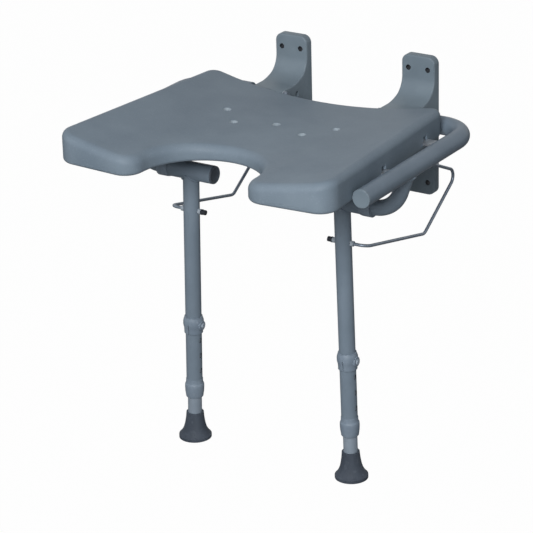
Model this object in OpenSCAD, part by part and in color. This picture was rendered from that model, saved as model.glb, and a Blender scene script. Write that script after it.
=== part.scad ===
// A fold-up shower seat for a wall, with two height-adjustable legs.
// Millimetres. Y = 0 is the wall and -Y the front, +Z is up, X = 0 is midway between
// the two brackets, and Z = 0 is the middle of their bolt holes.

/* [Wall brackets] */
// Distance between the two brackets' centre lines
bracket_span = 230; // [224:1:236]
// Width of a bracket
bracket_w = 58; // [54:1:62]
// Height of a bracket's flange
bracket_h = 225; // [216:1:240]
// Thickness of the flange
flange_t = 14; // [10:1:16]
// Radius of the flange's corners
flange_corner = 12; // [6:1:16]
// Distance between the bolt holes across a bracket
bolt_dx = 34; // [28:1:38]
// Distance between the bolt holes up a bracket
bolt_dz = 184; // [174:1:190]
// Diameter of a bolt hole
bolt_d = 8.5; // [6:0.1:10]
// Radius of the arm's nose round each pivot
nose_r = 10; // [9.5:0.1:12]
// Wall of the arm, which is hollow at the back
arm_wall = 6; // [4:0.5:8]
// How far the ramp above the arm reaches up the flange from the arm's top
ramp_rise = 15; // [8:1:20]
// How far the ramp reaches forward from the flange
ramp_run = 30; // [20:1:36]
// Diameter of the access hole through the arm's two sides
access_d = 9.5; // [6:0.5:11]
// Access hole in front of the wall
access_out = 45; // [40:1:50]
// Access hole below the arm's top
access_down = 17; // [15:1:20]

/* [Hinge and linkage] */
// Hinge axis in front of the wall
hinge_out = 84; // [78:1:88]
// Hinge axis above the middle of the bolt holes
hinge_up = 35; // [30:1:40]
// Link pivots below the hinge, and below the leg axle
link_drop = 65; // [62:1:68]
// Diameter of the hinge bolt's shank
hinge_bolt_d = 10; // [8:0.5:10.5]
// Length of the hinge bolt inside the rail's plug
hinge_grip = 24; // [16:1:30]
// Wall of a hinge bush's sleeve
bush_wall = 1.25; // [1:0.05:1.3]
// Length of a hinge bush's sleeve
bush_len = 15; // [8:1:20]
// Thickness of the hinge bush's flange
bush_flange_t = 1.5; // [1:0.1:2]
// Diameter of the link rod
link_d = 5; // [4:0.1:6]
// Link rod's plane, outside the leg's centre line
link_beside = 40.7; // [38:0.1:44]
// Bend radius of the link rod, to its centre
link_bend_r = 14; // [9:0.5:15]
// Lowest bend of the link rod, in front of the wall
link_low_out = 102; // [96:1:108]
// Lowest bend of the link rod, below its front pivot
link_low_drop = 40.5; // [36:0.5:44]
// Slope of the link rod's rear run, in degrees
link_rear_slope = 24.8; // [18:0.1:26]
// Where the rear bend's straight runs would meet, behind the wall's face
link_rear_corner = 4; // [0:0.5:7]
// Length of a push-on cap
link_cap_len = 8; // [6:0.5:10]

/* [Side rails] */
// Outside diameter of a rail
rail_d = 28.6; // [27.5:0.1:29.5]
// Wall of a rail
rail_wall = 1.6; // [1.2:0.1:2.4]
// Rail's centre line outside the pad's front corners
rail_beside = 9.5; // [7:0.5:14]
// Front face of the rail's cap, in front of the wall
rail_front = 412.5; // [380:0.5:440]
// Bend radius of the rail, to its centre
rail_bend_r = 48; // [42:1:54]
// Thickness of the front cap's disc
rail_cap_t = 3; // [2:0.5:5]

/* [Axle arms and tees] */
// Leg axle in front of the wall
axle_out = 277; // [262:1:290]
// Leg axle below the hinge axis
axle_drop = 68.5; // [64:0.5:74]
// Outside diameter of an axle arm
arm_d = 24; // [22:0.1:24.5]
// Wall of an axle arm
arm_tube_wall = 2; // [1.5:0.1:3]
// Bend radius of an axle arm, to its centre
arm_bend_r = 46; // [40:1:46]
// Where the arm's straight runs would meet, inside the rail's centre line
arm_corner_in = 24; // [20:1:26]
// Leg's centre line at the axle, inside the rail's
leg_in = 112.7; // [109:0.1:116]
// Outside diameter of a tee
tee_d = 28.6; // [28:0.1:30]
// Wall of a tee
tee_wall = 1.2; // [1:0.1:1.3]
// Tee's inner end, from the leg's centre line
tee_in = 42; // [38:0.5:46]
// Tee's outer end, from the leg's centre line
tee_out = 53; // [50:0.5:54]
// Length of the outer bush's ring over the tee
tee_ring_len = 17; // [10:1:22]
// Thickness of the ring over the tee
tee_ring_t = 1.4; // [1:0.1:2]
// Thickness of the outer bush's end
tee_bush_end_t = 2; // [1.5:0.1:3]
// Length of a tee bush inside the tee
tee_bush_len = 22; // [14:1:26]

/* [Legs] */
// Outward splay of a leg, in degrees
leg_splay = 1.3; // [0:0.1:2]
// Outside diameter of a leg tube
leg_d = 25.4; // [25:0.1:26.5]
// Wall of a leg tube
leg_wall = 1.5; // [1.2:0.1:2]
// Bottom of the leg tube, down the leg from the axle
leg_len = 374; // [366:1:380]
// Lowest height hole above the bottom of the leg tube
last_hole_up = 39.5; // [39:0.5:46]
// Distance between two height holes
hole_pitch = 26; // [24:0.5:28]
// Number of height holes
hole_count = 4; // [2:1:4]
// Diameter of the locking pin behind a snap button
pin_d = 8; // [6:0.1:8.5]
// Diameter of a snap button's face
button_d = 9; // [7:0.1:9.5]
// How far the button stands out of the collar's boss
button_out = 2.2; // [2:0.1:3]
// Height of the height collar
collar_h = 28; // [22:1:32]
// Largest diameter of the height collar
collar_d = 32.5; // [31:0.1:34]
// Face of the collar's boss, from the middle of the leg tube
boss_out = 17.3; // [17.2:0.1:18.5]
// Height of the end bush on the leg tube
end_bush_h = 31; // [24:1:34]
// Largest diameter of the end bush
end_bush_d = 30.5; // [30:0.1:34]
// Diameter of the pale bush where the link rod passes through the leg
pivot_bush_d = 8.5; // [8:0.1:10]
// How far the pale bush stands out of the leg
pivot_bush_out = 5; // [3:0.5:7]

/* [Feet] */
// Floor below the bottom of the leg tube
leg_above_floor = 78.5; // [76:0.5:88]
// Wall of a foot tube
foot_tube_wall = 1.5; // [1.2:0.1:2]
// Length of the foot tube above its snap button
foot_tube_above = 30; // [26:1:40]
// Height of a rubber foot
foot_h = 44; // [38:1:46]
// Diameter of the foot's flat base
foot_base_d = 52; // [46:1:60]
// Diameter of the foot's waist
foot_waist_d = 35; // [32:1:40]
// Diameter of the foot's top
foot_top_d = 27.7; // [26:0.1:30]
// Rubber below the foot tube
foot_sole = 9; // [7:0.5:14]
// Thickness of the steel disc in the foot
foot_disc_t = 2; // [1:0.1:3]

/* [Pad] */
// Underside of the pad above the middle of the bolt holes
pad_z = 27.5; // [26:0.5:29]
// Thickness of the pad at the middle of its dish
pad_t = 24.7; // [23:0.1:30]
// How far the dish rises at the reference width
dish_rise = 23.8; // [14:0.1:26]
// Half width at which the dish's rise is taken
dish_half = 225; // [215:1:240]
// Half width of the pad at its front corners
pad_front_half = 237.5; // [236:0.5:242]
// Half width of the pad at its rear corners
pad_rear_half = 208.5; // [200:0.5:209]
// Front edge in front of the wall, at the outer corners
pad_front = 480; // [470:0.5:486]
// How far the front edge comes forward from the outer corners to the middle
front_bow = 16; // [8:1:20]
// Rear edge in front of the wall, at the middle
pad_rear = 110.3; // [110:0.1:116]
// Radius of the hollow rear edge
rear_edge_r = 1500; // [1400:10:1800]
// Radius of the front outer corners
front_corner_r = 30; // [22:1:34]
// Radius of the lobes' inner corners
tip_r = 30; // [22:1:34]
// Radius of the rear corners
rear_corner_r = 23; // [21:1:34]
// Radius of the cut-out
cut_r = 94; // [80:1:96]
// Centre of the cut-out in front of the wall
cut_out = 457; // [450:1:460]
// Radius of the rounded top edge
top_round = 13; // [8:0.5:14]
// Radius of the rounded bottom edge
bottom_round = 6; // [4:0.5:8]
// Thickness of the base board
board_t = 8; // [6:0.5:9]
// Base board's edge inside the pad's outline
board_inset = 12; // [10:0.5:16]
// Diameter of a drain hole
drain_d = 8; // [5:0.5:12]

/* [Pad fixings] */
// Where the lugs stand, in front of the wall
lug_out = [168, 309];
// Width of a lug
lug_w = 18; // [14:1:24]
// Thickness of a lug
lug_t = 4; // [3:0.5:5]
// How far a lug's screw stands inside the pad's side
screw_in = 18; // [17:0.5:19]
// Diameter of a screw's shank
screw_d = 5; // [4:0.1:6]
// Width of the pocket over a screw
pocket_w = 12; // [10:0.5:14]
// Height of the pocket over a lug
pocket_h = 8; // [6:0.5:11]

/* [Hidden] */
LEFT = -1;
RIGHT = 1;
SIDES = [LEFT, RIGHT];
running = 0.05;      // radial clearance of a running fit
snug = 0.05;         // radial clearance of a pushed-in fit
slide = 0.1;         // radial clearance of a sliding tube
seam = 0.3;          // clearance between faces that pass each other
through = 1;         // how far a cut runs past a face
$fn = 64;

// Axes, from the driving sizes
hinge = [0, -hinge_out, hinge_up];
link_rear = hinge - [0, 0, link_drop];
axle = [0, -axle_out, hinge_up - axle_drop];
link_front_drop = link_drop / cos(leg_splay);
rail_x = pad_front_half + rail_beside;
leg_x = rail_x - leg_in;
link_x = leg_x + link_beside;
top_hole_down = leg_len - last_hole_up - (hole_count - 1) * hole_pitch;
floor_drop = leg_len + leg_above_floor;
arm_end_in = 16;      // from the tee's inner end to the arm's
arm_end_x = leg_x - tee_in + arm_end_in;
bracket_out_x = bracket_span / 2 + bracket_w / 2;
bracket_in_x = bracket_span / 2 - bracket_w / 2;
plug_x = bracket_out_x + bush_flange_t + seam;
plug_flange_t = 2.5;
rail_end_x = plug_x + plug_flange_t;
bore_d = leg_d - 2 * leg_wall;
foot_tube_d = bore_d - 2 * slide;
foot_tube_bore = foot_tube_d - 2 * foot_tube_wall;
tee_bore = tee_d - 2 * tee_wall;
board_top = pad_z + board_t;
lug_top = board_top + lug_t;

// Vectors and frames
function unit(v) = v / norm(v);
function turn(u, v) = acos(max(-1, min(1, u * v)));
function side_of(w) = unit(cross(abs(w[2]) > 0.9 ? [1, 0, 0] : [0, 0, 1], w));

// Children stand in a frame with its origin at p and its axes along x, y and z
module frame(x, y, z, p)
    multmatrix([
        [x[0], y[0], z[0], p[0]],
        [x[1], y[1], z[1], p[1]],
        [x[2], y[2], z[2], p[2]],
        [0, 0, 0, 1]
    ]) children();

// A straight bar from a to b
module bar(a, b, d) {
    w = unit(b - a);
    s = side_of(w);
    frame(s, cross(w, s), w, a) cylinder(d = d, h = norm(b - a));
}

// A bent bar along points, with one radius for each corner. A short sleeve, a hair wider,
// covers each place where a straight run meets a bend.
join_len = 0.3;
join_over = 0.06;
function run_dir(pts, i) = unit(pts[i + 1] - pts[i]);
function corner_len(pts, radii, i) =
    radii[i - 1] * tan(turn(run_dir(pts, i - 1), run_dir(pts, i)) / 2);
function run_start(pts, radii, i) =
    i == 0 ? pts[0] : pts[i] + run_dir(pts, i) * corner_len(pts, radii, i);
function run_end(pts, radii, i) =
    i == len(pts) - 2 ? pts[i + 1] : pts[i + 1] - run_dir(pts, i) * corner_len(pts, radii, i + 1);
module bent_bar(pts, radii, d) {
    for (i = [0 : len(pts) - 2]) bar(run_start(pts, radii, i), run_end(pts, radii, i), d);
    for (i = [1 : len(pts) - 2]) {
        u = run_dir(pts, i - 1);
        v = run_dir(pts, i);
        n = unit(v - u * (u * v));
        r = radii[i - 1];
        from = run_end(pts, radii, i - 1);
        to = run_start(pts, radii, i);
        frame(-n, u, cross(u, n), from + n * r)
            rotate_extrude(angle = turn(u, v)) translate([r, 0]) circle(d = d);
        bar(from - u * join_len, from + u * join_len, d + join_over);
        bar(to - v * join_len, to + v * join_len, d + join_over);
    }
}
function longer(pts, e) = [
    for (i = [0 : len(pts) - 1])
        i == 0 ? pts[0] - run_dir(pts, 0) * e
        : i == len(pts) - 1 ? pts[i] + run_dir(pts, i - 1) * e : pts[i]
];
module bent_tube(pts, radii, d, wall) difference() {
    bent_bar(pts, radii, d);
    bent_bar(longer(pts, through), radii, d - 2 * wall);
}

// A plain tube or ring along Z
module ring(outer, inner, h) difference() {
    cylinder(d = outer, h = h);
    translate([0, 0, -through]) cylinder(d = inner, h = h + 2 * through);
}

// Children along X, with their Z pointing away from the middle on the given side
module outward(side) rotate([0, side * 90, 0]) children();

// Children in a leg's own frame: the axle is at the origin and the leg runs along -Z
module on_leg(side)
    translate([side * leg_x, axle[1], axle[2]]) rotate([0, -side * leg_splay, 0]) children();

// Rounded outlines: points of an arc that rounds the corner b between a and c
function corner_arc(a, b, c, r, steps) =
    let (u = unit(a - b), v = unit(c - b), half = turn(u, v) / 2)
    let (mid = b + unit(u + v) * (r / sin(half)), from = b + u * (r / tan(half)) - mid)
    let (way = sign(u[0] * v[1] - u[1] * v[0]) * (180 - 2 * half))
    [for (i = [0 : steps])
        let (t = way * -i / steps)
        mid + [from[0] * cos(t) - from[1] * sin(t), from[0] * sin(t) + from[1] * cos(t)]];

// Wall brackets

arm_top = hinge_up + nose_r;
arm_low = hinge_up - link_drop - nose_r;
nose_out = hinge_out + nose_r;
ramp_top_round = 28;
ramp_foot_round = 65;
cavity_out = hinge_out - 20;

// Side outline of a bracket, out from the wall and up
function bracket_side() =
    let (top = arm_top + ramp_rise, low = arm_low - ramp_rise, foot = flange_t + ramp_run)
    let (half = bracket_h / 2)
    concat(
        [[0, -half], [flange_t, -half]],
        corner_arc([flange_t, -half], [flange_t, low], [foot, arm_low], ramp_top_round, 7),
        corner_arc([flange_t, low], [foot, arm_low], [nose_out, arm_low], ramp_foot_round, 5),
        corner_arc([0, arm_low], [nose_out, arm_low], [nose_out, 0], nose_r, 8),
        corner_arc([nose_out, 0], [nose_out, arm_top], [0, arm_top], nose_r, 8),
        corner_arc([nose_out, arm_top], [foot, arm_top], [flange_t, top], ramp_foot_round, 5),
        corner_arc([foot, arm_top], [flange_t, top], [flange_t, half], ramp_top_round, 7),
        [[flange_t, half], [0, half]]
    );

module flange_outline() {
    w = bracket_w - 2 * flange_corner;
    h = bracket_h - 2 * flange_corner;
    square([bracket_w, h], center = true);
    square([w, bracket_h], center = true);
    for (sx = [-1, 1], sz = [-1, 1]) translate([sx * w / 2, sz * h / 2]) circle(r = flange_corner);
}

module bracket(side) {
    color([0.33, 0.38, 0.44]) translate([side * bracket_span / 2, 0, 0]) difference() {
        intersection() {
            rotate([90, 0, 0]) linear_extrude(nose_out + through) flange_outline();
            rotate([90, 0, -90]) linear_extrude(bracket_w, center = true) polygon(bracket_side());
        }
        // hollow back of the arm
        translate([arm_wall - bracket_w / 2, -cavity_out, arm_low + arm_wall])
            cube([bracket_w - 2 * arm_wall, cavity_out + through, arm_top - arm_low - 2 * arm_wall]);
        // bolt holes
        for (sx = [-1, 1], sz = [-1, 1])
            translate([sx * bolt_dx / 2, through, sz * bolt_dz / 2])
                rotate([90, 0, 0]) cylinder(d = bolt_d, h = flange_t + 2 * through);
        // hinge bore, link bore and access hole, right through the arm
        across(hinge[1], hinge[2]) bore(hinge_bolt_d + 2 * (running + bush_wall + snug));
        across(link_rear[1], link_rear[2]) bore(link_d + 2 * running);
        across(-access_out, arm_top - access_down) bore(access_d);
    }
}
module across(y, z) translate([0, y, z]) rotate([0, 90, 0]) children();
module bore(d) cylinder(d = d, h = bracket_w + 2 * through, center = true);

// Hinge bushes, two flanged ones in each bracket's nose
module hinge_bush() {
    ring(hinge_bolt_d + 2 * (running + bush_wall), hinge_bolt_d + 2 * running, bush_len);
    translate([0, 0, -bush_flange_t])
        ring(2 * nose_r - 1, hinge_bolt_d + 2 * running, bush_flange_t);
}
module hinge_bushes() color([0.8, 0.8, 0.78]) for (side = SIDES) {
    translate([side * bracket_in_x, hinge[1], hinge[2]]) outward(side) hinge_bush();
    translate([side * bracket_out_x, hinge[1], hinge[2]]) outward(-side) hinge_bush();
}

// Side rails with their caps and plugs

function rail_path(side, front) = [
    [side * rail_x, -front, hinge[2]],
    [side * rail_x, hinge[1], hinge[2]],
    [side * rail_end_x, hinge[1], hinge[2]]
];
module rail(side) color([0.36, 0.42, 0.49])
    bent_tube(rail_path(side, rail_front - rail_cap_t), [rail_bend_r], rail_d, rail_wall);

rail_bore = rail_d - 2 * rail_wall;
cap_plug_len = 15;
cap_plug_wall = 4;
module rail_caps() color([0.46, 0.52, 0.58]) for (side = SIDES)
    translate([side * rail_x, -rail_front, hinge[2]]) rotate([-90, 0, 0]) {
        cylinder(d = rail_d, h = rail_cap_t);
        difference() {
            cylinder(d = rail_bore - 2 * snug, h = rail_cap_t + cap_plug_len);
            translate([0, 0, rail_cap_t + 1])
                cylinder(d = rail_bore - 2 * cap_plug_wall, h = cap_plug_len);
        }
    }

plug_end = 4;
module hinge_plugs() color([0.2, 0.22, 0.25]) for (side = SIDES)
    translate([side * plug_x, hinge[1], hinge[2]]) outward(side) difference() {
        union() {
            cylinder(d = rail_d, h = plug_flange_t);
            cylinder(d = rail_bore - 2 * snug, h = hinge_grip + plug_end);
        }
        translate([0, 0, -through]) cylinder(d = hinge_bolt_d + 2 * snug, h = hinge_grip + through);
    }

bolt_head_d = 16;
bolt_head_t = 5.5;
bolt_hex_d = 6;
bolt_hex_deep = 3;
module hinge_bolts() color([0.7, 0.71, 0.72]) for (side = SIDES) {
    head_x = bracket_in_x - bush_flange_t - seam;
    translate([side * (head_x - bolt_head_t), hinge[1], hinge[2]]) outward(side) {
        difference() {
            cylinder(d = bolt_head_d, h = bolt_head_t);
            translate([0, 0, -through]) cylinder(d = bolt_hex_d, h = bolt_hex_deep + through, $fn = 6);
        }
        cylinder(d = hinge_bolt_d, h = plug_x + hinge_grip - seam - head_x + bolt_head_t);
    }
}

// Axle arms: down from the rail, then inwards as the leg's axle

weld_w = 3;
function arm_path(side) = [
    [side * rail_x, axle[1], hinge[2]],
    [side * (rail_x - arm_corner_in), axle[1], axle[2]],
    [side * arm_end_x, axle[1], axle[2]]
];
module axle_arm(side) color([0.36, 0.42, 0.49]) difference() {
    path = arm_path(side);
    down = run_dir(path, 0);
    beside = side_of(down);
    union() {
        bent_tube(path, [arm_bend_r], arm_d, arm_tube_wall);
        frame(beside, cross(down, beside), down, path[0] + down * (rail_d / 2 + 1))
            rotate_extrude() translate([arm_d / 2 - arm_tube_wall / 2, 0]) circle(d = 2 * weld_w);
    }
    translate([side * rail_x, axle[1] - rail_d, hinge[2]])
        rotate([-90, 0, 0]) cylinder(d = rail_d, h = 2 * rail_d);
}

// A stop screw with its washer and plug in each axle arm's inner end
stop_washer_t = 2;
stop_screw_d = 8;
stop_plug_len = 18;
stop_head_d = 14;
stop_head_t = 4;
module axle_stops() color([0.6, 0.61, 0.62]) for (side = SIDES)
    translate([side * arm_end_x, axle[1], axle[2]]) outward(side) {
        difference() {
            cylinder(d = arm_d - 2 * (arm_tube_wall + snug), h = stop_plug_len);
            translate([0, 0, -through])
                cylinder(d = stop_screw_d + 2 * snug, h = stop_plug_len - 2 + through);
        }
        translate([0, 0, -stop_washer_t]) difference() {
            cylinder(d = tee_bore - 2 * seam, h = stop_washer_t);
            translate([0, 0, -through]) cylinder(d = stop_screw_d + 2 * snug, h = stop_washer_t + 2);
        }
        translate([0, 0, -stop_washer_t - stop_head_t]) cylinder(d = stop_head_d, h = stop_head_t);
        translate([0, 0, -stop_washer_t]) cylinder(d = stop_screw_d, h = stop_plug_len - 2);
    }

// Pad: a closed loop of points round the horseshoe, and rings of it drawn in and raised

front_steps = 5;
side_steps = 3;
rear_corner_steps = 8;
rear_steps = 7;
tip_steps = 5;
front_cols = 5;

rear_corner = [pad_rear_half, -pad_rear + pow(pad_rear_half, 2) / (2 * rear_edge_r)];
front_corner = [pad_front_half, -pad_front];
front_middle = [0, -pad_front - front_bow];
cut_start = [cut_r, -cut_out];
tip_corner = [
    cut_r,
    front_middle[1] + (front_corner[1] - front_middle[1]) * cut_r / pad_front_half
];

// Right half of the outer edge, from the front to the middle of the rear edge
front_arc = corner_arc(front_middle, front_corner, rear_corner, front_corner_r, front_steps);
rear_arc = corner_arc(
    front_corner, rear_corner,
    [0, rear_corner[1] - pow(rear_corner[0], 2) / rear_edge_r], rear_corner_r, rear_corner_steps
);
side_from = front_arc[front_steps];
side_to = rear_arc[0];
rear_from = rear_arc[rear_corner_steps];
rear_lift = rear_from[1] + pad_rear - pow(rear_from[0], 2) / (2 * rear_edge_r);
outer_half = concat(
    front_arc,
    [for (i = [1 : side_steps - 1]) side_from + (side_to - side_from) * i / side_steps],
    rear_arc,
    [for (i = [1 : rear_steps])
        let (x = rear_from[0] * (1 - (i - 0.5) / rear_steps))
        [x, -pad_rear + pow(x, 2) / (2 * rear_edge_r) + rear_lift * x / rear_from[0]]]
);
// Right half of the inner edge, from the lobe's tip to the middle of the cut-out, with as many
// points as the outer half
cut_steps = len(outer_half) - tip_steps - 1;
inner_half = concat(
    corner_arc(front_corner, tip_corner, cut_start, tip_r, tip_steps),
    [for (i = [0 : cut_steps - 1])
        let (a = 90 * (i + 0.5) / cut_steps)
        [cut_r * cos(a), -cut_out + cut_r * sin(a)]]
);
function mirrored(pts) = [for (i = [len(pts) - 1 : -1 : 0]) [-pts[i][0], pts[i][1]]];
outer_edge = concat(outer_half, mirrored(outer_half));
inner_edge = concat(inner_half, mirrored(inner_half));
rows = len(outer_edge);
function between(a, b, n) = [for (j = [1 : n - 1]) a + (b - a) * j / n];
loop = concat(
    outer_edge,
    between(outer_edge[rows - 1], inner_edge[rows - 1], front_cols),
    [for (i = [rows - 1 : -1 : 0]) inner_edge[i]],
    between(inner_edge[0], outer_edge[0], front_cols)
);
loop_n = len(loop);
// Inward directions at the loop's points: the loop runs anticlockwise seen from above
loop_in = [for (i = [0 : loop_n - 1])
    let (t = unit(loop[(i + 1) % loop_n] - loop[(i + loop_n - 1) % loop_n])) [-t[1], t[0]]];
function drawn_in(d) = [for (i = [0 : loop_n - 1]) loop[i] + loop_in[i] * d];
function dish(x) = pad_z + pad_t + dish_rise * pow(x / dish_half, 2);

// Each ring is how far it is drawn in, then its height above the underside or below the dish
bottom_rings = [for (a = [90, 45, 0]) [bottom_round * (1 - cos(a)), bottom_round * (1 - sin(a))]];
top_rings = [for (a = [0, 25, 50, 70, 90]) [top_round * (1 - cos(a)), top_round * (1 - sin(a))]];
pad_rings = concat(
    [for (r = bottom_rings) [for (p = drawn_in(r[0])) [p[0], p[1], pad_z + r[1]]]],
    [for (r = top_rings) [for (p = drawn_in(r[0])) [p[0], p[1], dish(p[0]) - r[1]]]]
);
// A cap's own points lie between its ring's outer and inner edges
function inner_index(i) = rows + front_cols - 1 + rows - 1 - i;
function cap_inside(ring, lift) = [
    for (i = [1 : rows - 2], j = [1 : front_cols - 1])
        let (p = ring[i] + (ring[inner_index(i)] - ring[i]) * j / front_cols)
        [p[0], p[1], lift ? dish(p[0]) : pad_z]
];
// Index of the cap's point in row i and column j, where base is the ring and extra its inside
function cap_index(i, j, base, extra) =
    j == 0 ? base + i
    : j == front_cols ? base + inner_index(i)
    : i == rows - 1 ? base + rows - 1 + j
    : i == 0 ? base + loop_n - j
    : extra + (i - 1) * (front_cols - 1) + j - 1;
module pad_body() {
    ring_n = len(pad_rings);
    last = ring_n - 1;
    low_extra = ring_n * loop_n;
    top_extra = low_extra + (rows - 2) * (front_cols - 1);
    polyhedron(
        points = concat(
            [for (r = pad_rings, p = r) p],
            cap_inside(pad_rings[0], false),
            cap_inside(pad_rings[last], true)
        ),
        faces = concat(
            [for (k = [0 : last - 1], i = [0 : loop_n - 1], half = [0, 1])
                let (a = k * loop_n, b = a + loop_n, n = (i + 1) % loop_n)
                half == 0 ? [a + i, b + i, b + n] : [a + i, b + n, a + n]],
            [for (i = [0 : rows - 2], j = [0 : front_cols - 1], half = [0, 1])
                let (b = last * loop_n)
                let (p = cap_index(i, j, b, top_extra), q = cap_index(i + 1, j, b, top_extra))
                let (r = cap_index(i + 1, j + 1, b, top_extra), s = cap_index(i, j + 1, b, top_extra))
                half == 0 ? [p, r, q] : [p, s, r]],
            [for (i = [0 : rows - 2], j = [0 : front_cols - 1], half = [0, 1])
                let (p = cap_index(i, j, 0, low_extra), q = cap_index(i + 1, j, 0, low_extra))
                let (r = cap_index(i + 1, j + 1, 0, low_extra), s = cap_index(i, j + 1, 0, low_extra))
                half == 0 ? [p, q, r] : [p, r, s]]
        )
    );
}

// Where the pad's side stands at a distance in front of the wall
function pad_side(out) =
    rear_corner[0] + (front_corner[0] - rear_corner[0])
        * (-out - rear_corner[1]) / (front_corner[1] - rear_corner[1]);
drains = [[0, 242], [60, 267], [-60, 267], [96, 229], [-96, 229]];
module drain_cuts() for (d = drains) translate([d[0], -d[1], pad_z - through])
    cylinder(d = drain_d, h = pad_t + dish_rise);

module seat_pad() color([0.45, 0.5, 0.55]) difference() {
    pad_body();
    translate([0, 0, pad_z - through])
        linear_extrude(board_t + through) polygon(drawn_in(board_inset - seam));
    drain_cuts();
    for (side = SIDES, out = lug_out) {
        // slot for the lug, and the pocket over its screw
        slot_in = pad_side(out) - screw_in - screw_d;
        translate([side * (slot_in + rail_x) / 2, -out, board_top + (lug_t + seam) / 2 - through / 2])
            cube([rail_x - slot_in, lug_w + 2 * seam, lug_t + seam + through], center = true);
        translate([side * (pad_side(out) - screw_in), -out, lug_top])
            cylinder(d = pocket_w, h = pocket_h);
        translate([side * (pad_side(out) - screw_in + rail_x) / 2, -out, lug_top + pocket_h / 2])
            cube([rail_x - pad_side(out) + screw_in, pocket_w, pocket_h], center = true);
    }
}

module base_board() color([0.25, 0.27, 0.3]) difference() {
    translate([0, 0, pad_z]) linear_extrude(board_t) polygon(drawn_in(board_inset));
    drain_cuts();
    for (side = SIDES, out = lug_out) translate([side * (pad_side(out) - screw_in), -out, pad_z + 2])
        cylinder(d = screw_d + 2 * snug, h = board_t);
}

module rail_lugs() color([0.42, 0.48, 0.54]) for (side = SIDES, out = lug_out) difference() {
    lug_end = pad_side(out) - screw_in - screw_d + seam;
    translate([side * (lug_end + rail_x) / 2, -out, board_top + lug_t / 2])
        cube([rail_x - lug_end, lug_w, lug_t], center = true);
    translate([side * rail_x, -out - lug_w, hinge[2]])
        rotate([-90, 0, 0]) cylinder(d = rail_d, h = 2 * lug_w);
    translate([side * (pad_side(out) - screw_in), -out, board_top - through])
        cylinder(d = screw_d + 2 * snug, h = lug_t + 2 * through);
}

screw_head_t = 3.2;
module pad_screws() color([0.7, 0.71, 0.72]) for (side = SIDES, out = lug_out)
    translate([side * (pad_side(out) - screw_in), -out, lug_top]) {
        difference() {
            cylinder(d = 1.9 * screw_d, h = screw_head_t);
            translate([0, 0, screw_head_t - 1.5]) cylinder(d = 3, h = 3, $fn = 6);
        }
        translate([0, 0, pad_z + 2.5 - lug_top]) cylinder(d = screw_d, h = lug_top - pad_z - 2);
    }

// Tees, their bushes and plugs

module tee(side) color([0.36, 0.42, 0.49])
    translate([side * (leg_x - tee_in), axle[1], axle[2]]) outward(side)
        ring(tee_d, tee_bore, tee_in + tee_out);

ring_bush_d = tee_bore - 2 * snug;
module tee_bushes(side) color([0.3, 0.34, 0.4]) {
    translate([side * (leg_x + tee_out), axle[1], axle[2]]) outward(-side) {
        ring(ring_bush_d, arm_d + 2 * running, tee_bush_len);
        ring(tee_d + 2 * (snug + tee_ring_t), tee_d + 2 * snug, tee_ring_len);
        translate([0, 0, -tee_bush_end_t])
            ring(tee_d + 2 * (snug + tee_ring_t), arm_d + 2 * running, tee_bush_end_t);
    }
    translate([side * (arm_end_x + seam), axle[1], axle[2]]) outward(side)
        ring(ring_bush_d, arm_d + 2 * running, tee_bush_len);
}

tee_plug_t = 2;
tee_plug_len = 8;
tee_plug_rim = 2.5;
tee_plug_deep = 1;
module tee_plug(side) color([0.16, 0.18, 0.21])
    translate([side * (leg_x - tee_in), axle[1], axle[2]]) outward(side) difference() {
        union() {
            translate([0, 0, -tee_plug_t]) cylinder(d = tee_d, h = tee_plug_t);
            cylinder(d = ring_bush_d, h = tee_plug_len);
        }
        translate([0, 0, -tee_plug_t - through])
            cylinder(d = tee_bore - 2 * tee_plug_rim, h = through + tee_plug_deep);
        translate([0, 0, tee_plug_deep])
            cylinder(d = tee_bore - 2 * tee_plug_rim, h = tee_plug_len);
    }

// Leg tubes with their fittings, in the leg's own frame

module hole_row(d) for (i = [0 : hole_count - 1])
    translate([0, 0, -top_hole_down - i * hole_pitch]) rotate([0, 90, 0])
        cylinder(d = d, h = leg_d);

pivot_sleeve_d = pivot_bush_d - 2;
weld_below = 6;
weld_h = 9;
module leg_tube(side) color([0.4, 0.46, 0.52]) difference() {
    on_leg(side) difference() {
        union() {
            translate([0, 0, -leg_len]) cylinder(d = leg_d, h = leg_len);
            // fillet weld under the tee
            translate([0, 0, -tee_d / 2 - weld_below])
                cylinder(d1 = leg_d, d2 = tee_d - 0.2, h = weld_h);
        }
        translate([0, 0, -leg_len - through]) cylinder(d = bore_d, h = leg_len + tee_d);
        hole_row(pin_d + 2 * slide);
        translate([0, 0, -link_front_drop]) rotate([0, 90 + side * leg_splay, 0])
            cylinder(d = pivot_sleeve_d, h = 2 * leg_d, center = true);
    }
    translate([side * leg_x - 2 * leg_d, axle[1], axle[2]])
        rotate([0, 90, 0]) cylinder(d = tee_d, h = 4 * leg_d);
}

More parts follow.
